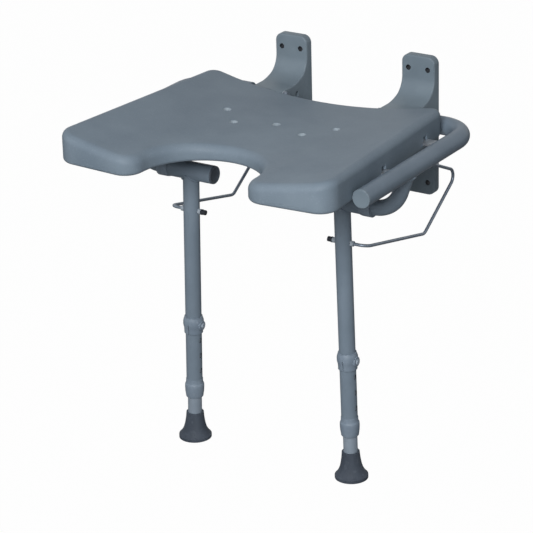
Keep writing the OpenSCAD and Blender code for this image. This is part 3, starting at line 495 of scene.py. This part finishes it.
def padHalf():
    # Right half of the outline as one flat face
    bm = bmesh.new()
    rearMiddle = bm.verts.new((0, pad["rear"], 0))
    angle = math.asin(pad["rearSpan"] / pad["rearCurve"])
    made = bmesh.ops.spin(bm, geom=[rearMiddle], cent=(0, pad["rear"] + pad["rearCurve"], 0),
                          axis=(0, 0, 1), angle=angle, steps=20, use_duplicate=False)
    rearEnd = onlyVerts(made["geom_last"])[0]
    cutStart = bm.verts.new((0, pad["cutMiddle"] + pad["cutRadius"], 0))
    made = bmesh.ops.spin(bm, geom=[cutStart], cent=(0, pad["cutMiddle"], 0), axis=(0, 0, 1),
                          angle=-math.pi / 2, steps=30, use_duplicate=False)
    cutEnd = onlyVerts(made["geom_last"])[0]
    tipY = pad["front"] - pad["bow"] * (1 - pad["cutRadius"] / pad["frontHalf"])
    tip = bm.verts.new((pad["cutRadius"], tipY, 0))
    corner = bm.verts.new((pad["frontHalf"], pad["front"], 0))
    rearCorner = bm.verts.new((pad["rearHalf"], padRearY(), 0))
    for pair in ((rearEnd, rearCorner), (rearCorner, corner), (corner, tip), (tip, cutEnd),
                 (cutStart, rearMiddle)):
        bm.edges.new(pair)
    bmesh.ops.contextual_create(bm, geom=bm.edges[:])
    roundCorner(bm, corner, pad["cornerRound"], 12)
    roundCorner(bm, tip, pad["tipRound"], 12)
    roundCorner(bm, rearCorner, pad["rearCornerRound"], 12)
    return bm


def flatUnder(bm):
    return [f for f in bm.faces if all(abs(v.co.z) < 0.01 for v in f.verts)]


def makePad():
    bm = padHalf()
    bmesh.ops.mirror(bm, geom=bm.verts[:] + bm.edges[:] + bm.faces[:], axis="X", merge_dist=0.01)
    bmesh.ops.recalc_face_normals(bm, faces=bm.faces)
    middle = [e for e in bm.edges if len(e.link_faces) == 2]
    bmesh.ops.dissolve_edges(bm, edges=middle, use_verts=False)
    pushedOut(bm, bm.faces[:][0], (0, 0, pad["thickness"]))
    for level, size, steps in ((pad["thickness"], pad["topRound"], 8), (0, pad["bottomRound"], 5)):
        rim = [e for e in bm.edges if all(abs(v.co.z - level) < 0.01 for v in e.verts)]
        softened(bm, rim, size, steps)
    bmesh.ops.inset_region(bm, faces=flatUnder(bm), thickness=pad["boardInset"] - pad["bottomRound"],
                           use_even_offset=True)
    recess = max(flatUnder(bm), key=lambda f: f.calc_area())
    made = bmesh.ops.extrude_face_region(bm, geom=[recess])
    bmesh.ops.translate(bm, verts=onlyVerts(made["geom"]), vec=(0, 0, pad["boardThick"]))
    if recess.is_valid:
        bmesh.ops.delete(bm, geom=[recess], context="FACES_ONLY")
    reach = int(pad["frontHalf"] / pad["slice"])
    for k in range(-reach, reach + 1):
        bmesh.ops.bisect_plane(bm, geom=bm.verts[:] + bm.edges[:] + bm.faces[:], dist=0.01,
                               plane_co=(k * pad["slice"], 0, 0), plane_no=(1, 0, 0))
    stretch = pad["thickness"] - pad["topRound"] - pad["bottomRound"]
    for v in bm.verts:
        share = min(1, max(0, (v.co.z - pad["bottomRound"]) / stretch))
        v.co.z += pad["underside"] + dish(v.co.x) * share
    boardTop = pad["underside"] + pad["boardThick"]
    lugTop = boardTop + pad["lugThick"]
    wells, slots, channels = [], [], []
    for x, y in pad["drains"]:
        top = pad["underside"] + pad["thickness"] + dish(x)
        well = turned(((0, 20), (pad["drainRadius"], 20), (pad["drainRadius"], top - pad["drainDeep"]),
                       (pad["drainDish"], top + 0.2), (pad["drainDish"], top + 9), (0, top + 9)), 40)
        bmesh.ops.translate(well, verts=well.verts, vec=(x, y, 0))
        wells.append(well)
    for side in sides.values():
        for y in pad["lugs"]:
            screwX = padSide(y) - pad["screwIn"]
            middle = (side * (pad["railX"] + screwX - 6) / 2, y, boardTop + pad["lugThick"] / 2 - 0.25)
            slots.append(block((pad["railX"] - screwX + 6, pad["lugWidth"], pad["lugThick"] + 0.5), middle))
            wells.append(rod((side * screwX, y, lugTop - 0.2),
                             (side * screwX, y, lugTop + pad["pocketHeight"]), pad["pocketWidth"] / 2))
            middle = (side * (pad["railX"] + screwX) / 2, y, lugTop + pad["pocketHeight"] / 2 - 0.1)
            size = (pad["railX"] - screwX, pad["pocketWidth"], pad["pocketHeight"] + 0.2)
            channels.append(block(size, middle))
    bmesh.ops.remove_doubles(bm, verts=bm.verts, dist=0.002)
    bmesh.ops.recalc_face_normals(bm, faces=bm.faces)
    for cutters in (wells, slots, channels):
        bm = carve(bm, joined(cutters))
    return bm


# Drain dimple faces, which get the lighter painted highlight
def inDrain(spot, normal):
    reach = min(math.hypot(spot.x - x, spot.y - y) for x, y in pad["drains"])
    return reach < pad["drainDish"] and spot.z > pad["underside"] + 10 and normal.z < 0.94


padPiece = finishPiece("padSkin", makePad(), padFinish, "seat", ["seat_pad"], sharp=32,
                       outward=False)
paintFaces(padPiece, drainHighlightFinish, inDrain)
print("pad made,", len(padPiece.data.polygons), "faces")


# Wall brackets: castings with a hollow arm
bracket = {"span": 230, "width": 58, "height": 225, "flange": 14, "corner": 12, "boltAcross": 34,
           "boltUp": 184, "boltRadius": 4.25, "nose": 10, "wall": 6, "rampRise": 15, "rampRun": 30,
           "edgeRound": 2.6, "accessRadius": 4.75, "accessAt": (-45, 28), "noseOut": 94, "hollowOut": 64,
           "hingeHole": 6.4, "linkHole": 2.55, "corners": (0, 0, 28, 65, 10, 10, 65, 28, 0, 0)}


def makeBracket(side):
    top = axes["hinge"][2] + bracket["nose"]
    low = axes["linkRear"][2] - bracket["nose"]
    half, flange, foot = bracket["height"] / 2, bracket["flange"], bracket["flange"] + bracket["rampRun"]
    w = bracket["width"] / 2
    x = -w
    outline = [(x, 0, -half), (x, -flange, -half), (x, -flange, low - bracket["rampRise"]), (x, -foot, low),
               (x, -bracket["noseOut"], low), (x, -bracket["noseOut"], top), (x, -foot, top),
               (x, -flange, top + bracket["rampRise"]), (x, -flange, half), (x, 0, half)]
    bm = bmesh.new()
    face = roundedFace(bm, outline, bracket["corners"], 12)
    pushedOut(bm, face, (bracket["width"], 0, 0))
    mask = bmesh.new()
    face = roundedFace(mask, [(-w, 5, -half), (w, 5, -half), (w, 5, half), (-w, 5, half)],
                       [bracket["corner"]] * 4, 10)
    pushedOut(mask, face, (0, -120, 0))
    bm = carve(bm, mask, "INTERSECT")
    bmesh.ops.dissolve_limit(bm, angle_limit=math.radians(1), verts=bm.verts, edges=bm.edges)
    crisp = [e for e in bm.edges if e.calc_face_angle(0) > math.radians(40)
             and not all(v.co.y > -0.01 for v in e.verts)]
    softened(bm, crisp, bracket["edgeRound"], 4, clamp=True)
    room = (bracket["width"] - 2 * bracket["wall"], bracket["hollowOut"] + 10,
            top - low - 2 * bracket["wall"])
    bm = carve(bm, block(room, (0, (10 - bracket["hollowOut"]) / 2, (top + low) / 2)))
    holes = [rod((sx * bracket["boltAcross"] / 2, 5, sz * bracket["boltUp"] / 2),
                 (sx * bracket["boltAcross"] / 2, -30, sz * bracket["boltUp"] / 2), bracket["boltRadius"])
             for sx in (-1, 1) for sz in (-1, 1)]
    for (y, z), radius in ((axes["hinge"][1:], bracket["hingeHole"]),
                           (axes["linkRear"][1:], bracket["linkHole"]),
                           (bracket["accessAt"], bracket["accessRadius"])):
        holes.append(rod((-40, y, z), (40, y, z), radius))
    bm = carve(bm, joined(holes))
    bmesh.ops.translate(bm, verts=bm.verts, vec=(side * bracket["span"] / 2, 0, 0))
    return bm


# Bolt hole walls, which get the near-black painted shade
def inBoltHole(spot, normal):
    across = abs(abs(spot.x) - bracket["span"] / 2) - bracket["boltAcross"] / 2
    reach = math.hypot(across, abs(spot.z) - bracket["boltUp"] / 2)
    return reach < bracket["boltRadius"] + 0.1 and abs(normal.y) < 0.5


for name, side in sides.items():
    piece = finishPiece(name + "BracketCasting", makeBracket(side), castFinish, "wall_brackets",
                        [name + "_bracket"], sharp=40, outward=False)
    paintFaces(piece, holeShadeFinish, inBoltHole)
print("brackets made")


# Side rails with their flat front caps
rail = {"radius": 14.3, "x": 247, "front": -412.5, "cap": 3, "bend": 48, "rearX": 148.3}
for name, side in sides.items():
    y, z = axes["hinge"][1:]
    path = [(side * rail["x"], rail["front"] + rail["cap"], z), (side * rail["x"], y, z),
            (side * rail["rearX"], y, z)]
    tube = bentBar(path, [rail["bend"]], rail["radius"], 64)
    finishPiece(name + "RailTube", tube, railFinish, "seat", [name + "_rail"])
capProfile = [(0, 0.25), (8, 0.12), (12.2, 0), *arcPoints((12.9, 1.4), 1.4, -90, 0, 5),
              (rail["radius"], rail["cap"]), (12.5, rail["cap"]), (12.5, 14), (0, 14)]
caps = []
for side in sides.values():
    caps.append(placed(turned(capProfile, 64), (side * rail["x"], rail["front"], axes["hinge"][2]), -90, "X"))
finishPiece("railFrontCaps", joined(caps), castFinish, "seat", ["rail_caps"])
print("rails made")


# Axle arms, welded under the rails and turned inwards
arm = {"radius": 12, "bend": 46, "cornerIn": 24, "innerX": 108.3, "startIn": 8, "bead": 2.1}
for name, side in sides.items():
    y, z = axes["axle"][1:]
    under = Vector((side * rail["x"], y, axes["hinge"][2]))
    elbow = Vector((side * (rail["x"] - arm["cornerIn"]), y, z))
    down = (elbow - under).normalized()
    path = [under + down * arm["startIn"], elbow, (side * arm["innerX"], y, z)]
    bar = bentBar(path, [arm["bend"]], arm["radius"], 56, 0.6)
    saddle = []
    for i in range(weldSteps):
        # where a line along the arm's skin comes out of the rail
        a, r = math.tau * i / weldSteps, arm["radius"] + 0.7
        spot = Vector((down.z, 0, -down.x)) * r * math.cos(a) + Vector((0, r * math.sin(a), 0))
        reach = math.sqrt(rail["radius"] ** 2 - (r * math.cos(a)) ** 2) + 0.3
        saddle.append(under + spot + down * reach)
    finishPiece(name + "AxleArmTube", joined([bar, weldBead(saddle, arm["bead"])]), tubeFinish, "seat",
                [name + "_axle_arm"])
print("axle arms made")


# Tees, legs and their fittings, drawn in the leg's own frame where they follow its splay
tee = {"radius": 14.3, "bore": 13.1, "inner": 42, "outer": 53, "bushRadius": 15.75, "bushLength": 17,
       "bushEnd": 2, "bushBore": 12.05, "bushWall": 13.05, "bushIn": 22}
leg = {"radius": 12.7, "bore": 11.2, "length": 374, "firstHole": 256.5, "pitch": 26, "holes": 4,
       "holeRadius": 4.1, "pivotHole": 3.25, "bead": 2.0, "shadeBelow": -90}


def inLegWall(spot):
    # The height holes' walls and the bore behind them, in the leg's own frame, which get the near-black
    # painted shade
    return math.hypot(spot.x, spot.y) < leg["radius"] - 0.15 and spot.z < leg["shadeBelow"]


for name, side in sides.items():
    y, z = axes["axle"][1:]
    body = name + "_leg"
    start, end = side * (axes["legX"] - tee["inner"]), side * (axes["legX"] + tee["outer"])
    tube = carve(rod((start, y, z), (end, y, z), tee["radius"], 64),
                 rod((start - 5 * side, y, z), (end + 5 * side, y, z), tee["bore"], 64))
    r = leg["radius"] + 0.6
    around = [math.tau * i / weldSteps for i in range(weldSteps)]
    saddle = [(side * axes["legX"] + r * math.cos(a), y + r * math.sin(a),
               z - math.sqrt(tee["radius"] ** 2 - (r * math.sin(a)) ** 2) - 0.4) for a in around]
    finishPiece(name + "TeeTube", joined([tube, weldBead(saddle, leg["bead"])]), railFinish, body,
                [name + "_tee"], outward=False)

    # plug with a raised rim in the tee's inner end, coloured dark as painted shade from the seat above
    plug = turned(((0, -1), (10.2, -1), (11.2, -1.3), *arcPoints((12.8, -1.2), 1.3, 200, 350, 6), (14.25, 0),
                   (13, 0.2), (13, 8), (11, 8), (11, 1), (0, 1)), 64)
    placed(plug, (start, y, z), side * 90, "Y")
    finishPiece(name + "TeeEndPlug", plug, plugShadeFinish, body, [name + "_tee_plug"])

    # outer bush: a ring over the tee with a rounded lip, and the inner bush
    e, bore, wall, deep = tee["bushEnd"], tee["bushBore"], tee["bushWall"], tee["bushIn"]
    lip = turned(((bore, -e), (15.2, -e), *arcPoints((14.95, -e + 0.8), 0.8, -90, 0, 4),
                  (tee["bushRadius"], 13), (15.3, 15.5), (15.1, tee["bushLength"]),
                  (14.35, tee["bushLength"]), (14.35, 0.1),
                  (wall, 0.1), (wall, deep), (bore, deep), (bore, -e)), 72)
    placed(lip, (end, y, z), -side * 90, "Y")
    innerBush = turned(((bore, 0), (wall, 0), (wall, deep), (bore, deep), (bore, 0)), 48)
    placed(innerBush, (side * (arm["innerX"] + 0.3), y, z), side * 90, "Y")
    finishPiece(name + "TeeBushRings", joined([lip, innerBush]), plasticFinish, body,
                [name + "_tee_bushes"])

    # leg tube with its height holes and the link's cross hole
    place = legPlace(side)
    tube = rod((0, 0, -leg["length"]), (0, 0, 0), leg["radius"], 64)
    tube = carve(tube, rod((0, 0, -leg["length"] - 5), (0, 0, 5), leg["bore"], 64))
    heights = [-leg["firstHole"] - i * leg["pitch"] for i in range(leg["holes"])]
    holes = [rod((8, 0, height), (20, 0, height), leg["holeRadius"], 36) for height in heights]
    drop = axes["linkDrop"] / math.cos(math.radians(axes["splay"]))
    tilt = math.tan(math.radians(axes["splay"])) * side
    holes.append(rod((-20, 0, -drop - 20 * tilt), (20, 0, -drop + 20 * tilt), leg["pivotHole"], 36))
    tube = carve(tube, joined(holes))
    tube.transform(place)
    tube = carve(tube, rod((start - 10 * side, y, z), (end + 10 * side, y, z), tee["radius"] - 0.2, 64))
    piece = finishPiece(name + "LegTube", tube, tubeFinish, body, [name + "_leg_tube"], outward=False)
    straight = place.inverted()
    # The leg's hole walls and its lower bore get the near-black painted shade
    paintFaces(piece, holeShadeFinish, lambda spot, normal: inLegWall(straight @ spot))
print("legs made")


# Height collars: a clip ring whose boss holds the snap button, with a slit at the front, and end bushes
collar = {"height": 28, "radius": 16.25, "neck": 14.6, "bore": 12.8, "window": 4.6, "slit": 1.3,
          "bossRadius": 8, "bossReach": 17.3, "bossStart": 8, "springRoom": 16.2}
endBush = {"bore": 12.75, "lip": 7}
for name, side in sides.items():
    h, bore, neck, reach = collar["height"], collar["bore"], collar["neck"], collar["bossReach"]
    ring = turned([(bore, 0), (neck - 0.5, 0), *arcPoints((neck - 0.5, 0.6), 0.6, -90, 0, 4), (neck + 0.1, 5),
                   (15.0, 9), (15.9, 12.5), (collar["radius"], 15), (collar["radius"], 19.5), (15.9, 22),
                   (15.1, 24.5), (neck - 0.4, 26.6), *arcPoints((13.6, 27.2), 0.8, 10, 90, 4),
                   (bore, h), (bore, 0)], 80)
    boss = turned([(0, collar["bossStart"]), (collar["bossRadius"], collar["bossStart"]),
                   (collar["bossRadius"], reach - 1.2),
                   *arcPoints((collar["bossRadius"] - 1.2, reach - 1.2), 1.2, 0, 90, 5), (0, reach)], 56)
    placed(boss, (0, 0, h / 2), 90, "Y")
    ring = carve(ring, boss, "UNION")
    ring = carve(ring, rod((0, 0, -3), (0, 0, h + 3), bore, 80))
    ring = carve(ring, joined([rod((5, 0, h / 2), (30, 0, h / 2), collar["window"], 40),
                               rod((5, 0, h / 2), (collar["springRoom"], 0, h / 2), collar["window"] + 1, 40),
                               block((collar["slit"], 30, h * 0.62), (0.6, -20, h * 0.31 - 0.5))]))
    ring.transform(legPlace(side) @ Matrix.Translation((0, 0, -leg["firstHole"] - h / 2)))
    finishPiece(name + "HeightCollarRing", ring, plasticFinish, name + "_leg_foot",
                [name + "_height_collar"], sharp=34, outward=False)

    # end bush: a bell round the bottom of the leg tube
    lip = endBush["lip"]
    bell = turned([(11.2, 0), (13.0, 0), *arcPoints((13.0, 0.7), 0.7, -90, -10, 4), (14.1, 4), (14.8, 8.5),
                   (15.15, 13), (15.25, 17), (15.15, 20.5), (14.6, 22.6), (13.9, 23.2), (13.5, 24),
                   (13.4, 29.6), *arcPoints((13.0, 30.4), 0.4, 0, 90, 3), (endBush["bore"], 30.8),
                   (endBush["bore"], lip), (11.2, lip), (11.2, 0)], 80)
    bell.transform(legPlace(side) @ Matrix.Translation((0, 0, -leg["length"] - lip)))
    finishPiece(name + "LegEndBell", bell, plasticFinish, name + "_leg", [name + "_end_bush"],
                sharp=50)
print("leg fittings made")


# Rubber feet: a bell that flares to a wide flat base, cut level with the floor
foot = {"floorDrop": 452.5, "floor": -486, "tubeBore": 11.15, "sole": 7, "grooves": (22, 18, 14, 10, 6)}
for name, side in sides.items():
    rings = []
    for r in foot["grooves"]:
        rings += [(r + 1.3, -1.5), (r + 1.3, 1.6), (r - 0.6, 1.6), (r - 0.6, -1.5)]
    bell = turned([(0, -1.5), *reversed(rings), (25.2, -1.5), (25.9, -0.6), (26, 3.6),
                   *arcPoints((24.6, 4.2), 1.4, 0, 60, 4), (23.2, 7.6), (20.6, 11.4), (18.4, 16.0),
                   (16.8, 21.4), (15.6, 27.5), (14.7, 33.5), (14.2, 38.5), (13.9, 42.6),
                   *arcPoints((13.2, 43.3), 0.7, 0, 90, 3), (11.6, 44), (foot["tubeBore"], 43.6),
                   (foot["tubeBore"], foot["sole"]), (0, foot["sole"])], 96)
    bell.transform(legPlace(side) @ Matrix.Translation((0, 0, -foot["floorDrop"])))
    bmesh.ops.bisect_plane(bell, geom=bell.verts[:] + bell.edges[:] + bell.faces[:],
                           plane_co=(0, 0, foot["floor"]), plane_no=(0, 0, -1), clear_outer=True)
    bmesh.ops.holes_fill(bell, edges=[e for e in bell.edges if e.is_boundary], sides=0)
    finishPiece(name + "RubberFoot", bell, rubberFinish, name + "_leg_foot", [name + "_foot"],
                sharp=40)
print("feet made")


# Link rods: one bent wire each
link = {"radius": 2.5, "x": 175, "bend": 14, "lowY": -102, "lowDrop": 40.5, "rearSlope": 24.8,
        "rearCorner": 4, "frontX": 110.575, "rearX": 79.5}
for name, side in sides.items():
    y, z = axes["axle"][1], axes["axle"][2] - axes["linkDrop"]
    rearY, rearZ = axes["linkRear"][1:]
    cornerZ = rearZ - (link["rearCorner"] - rearY) * math.tan(math.radians(link["rearSlope"]))
    x = side * link["x"]
    path = [(side * link["frontX"], y, z), (x, y, z), (x, link["lowY"], z - link["lowDrop"]),
            (x, link["rearCorner"], cornerZ), (x, rearY, rearZ), (side * link["rearX"], rearY, rearZ)]
    finishPiece(name + "LinkWire", bentBar(path, [link["bend"]] * 4, link["radius"], 24, 0.5), rodFinish,
                name + "_link", [name + "_link_rod"])
print("link rods made")


# Solids that keep their shape get their finish
kept = {"hinge_bushes": palePlasticFinish, "base_board": boardFinish, "hinge_plugs": railFinish,
        "hinge_bolts": rodFinish, "axle_stops": plateFinish, "rail_lugs": plateFinish,
        "pad_screws": plateFinish}
for name in sides:
    kept.update({name + "_pivot_bushes": palePlasticFinish, name + "_foot_tube": innerTubeFinish,
                 name + "_snap_spring": plateFinish, name + "_foot_disc": plateFinish,
                 name + "_snap_button": buttonFinish, name + "_link_caps": capFinish})
for nodeName, finish in kept.items():
    mesh = cadNodes[nodeName].data
    mesh.materials.clear()
    mesh.materials.append(finish)
print("solids finished")


# Stage: pale floor, white round the object, soft lamps
light = {"ambient": 0.21, "ambientColour": (0.97, 0.985, 1.0, 1), "floorGlow": 0.985, "floorZ": -0.4861}


def floorFinish():
    f = Finish("paleFloor")
    speck = f.noise(30, 3.0, 0.6)
    tone = f.mixColours(f.ramp(speck, 0.3, 0.7), (0.26, 0.262, 0.265), (0.29, 0.292, 0.295))
    f.finishWith(Base_Color=tone, Roughness=0.8)
    glow = f.add("Emission", None, {"Color": (1, 1, 1), "Strength": 1.0})
    seen = f.add("LightPath", out="Is Camera Ray") * light["floorGlow"]
    shown = f.add("MixShader", None, {0: seen, 1: Signal(f, f.shader.outputs[0]), 2: glow})
    f.tree.links.new(shown.socket, f.tree.nodes["Material Output"].inputs["Surface"])
    return f.material


floorMesh = bmesh.new()
bmesh.ops.create_grid(floorMesh, x_segments=1, y_segments=1, size=20)
bmesh.ops.translate(floorMesh, verts=floorMesh.verts, vec=(0, 0, light["floorZ"]))
floorData = meshOf(floorMesh, "floor")
floorData.materials.append(floorFinish())
newObject("floor", floorData)

world = bpy.data.worlds.new("studio")
bpy.context.scene.world = world
world.use_nodes = True
world.node_tree.nodes.clear()
sky = Finish("sky", world.node_tree)
dim = sky.add("Background", None, {"Color": light["ambientColour"], "Strength": light["ambient"]})
white = sky.add("Background", None, {"Color": (1, 1, 1, 1), "Strength": 1.0})
share = sky.add("LightPath", out="Is Camera Ray")
for ray in ("Is Glossy Ray", "Is Transmission Ray"):
    share = sky.add("Math", {"operation": "MAXIMUM"}, {0: share, 1: sky.add("LightPath", out=ray)})
mixed = sky.add("MixShader", None, {0: share, 1: dim, 2: white})
sky.add("OutputWorld", None, {"Surface": mixed}, out=None)


def lamp(name, spot, aim, size, power):
    data = bpy.data.lights.new(name, "AREA")
    data.shape = "SQUARE"
    data.size = size
    data.energy = power
    turn = (Vector(aim) - Vector(spot)).to_track_quat("-Z", "Y").to_matrix().to_4x4()
    newObject(name, data).matrix_world = Matrix.Translation(spot) @ turn


lamp("frontLamp", (1.1, -3.1, 1.65), (0, -0.25, 0), 1.5, 122)
lamp("leftLamp", (-2.9, -1.9, 1.6), (0, -0.25, 0), 1.6, 14)

# Camera at the photograph's viewpoint
view = {"azimuth": 33.0, "elevation": 22.348, "roll": -1.498, "spot": (2.0115, -3.3766, 1.3537),
        "lens": 177.54}
az, el, roll = (math.radians(view[k]) for k in ("azimuth", "elevation", "roll"))
back = Vector((math.sin(az) * math.cos(el), -math.cos(az) * math.cos(el), math.sin(el)))
level = Vector((math.cos(az), math.sin(az), 0))
upright = back.cross(level)
acrossWay = level * math.cos(roll) + upright * math.sin(roll)
upWay = upright * math.cos(roll) - level * math.sin(roll)
cameraData = bpy.data.cameras.new("camera")
cameraData.lens = view["lens"]
cameraData.sensor_width = 36
cameraData.sensor_fit = "HORIZONTAL"
cameraData.clip_end = 60
camera = newObject("camera", cameraData)
turn = Matrix((acrossWay, upWay, back)).transposed().to_4x4()
camera.matrix_world = Matrix.Translation(view["spot"]) @ turn
bpy.context.scene.camera = camera
bpy.context.scene.view_settings.view_transform = "Standard"
print("stage, lamps and camera set")
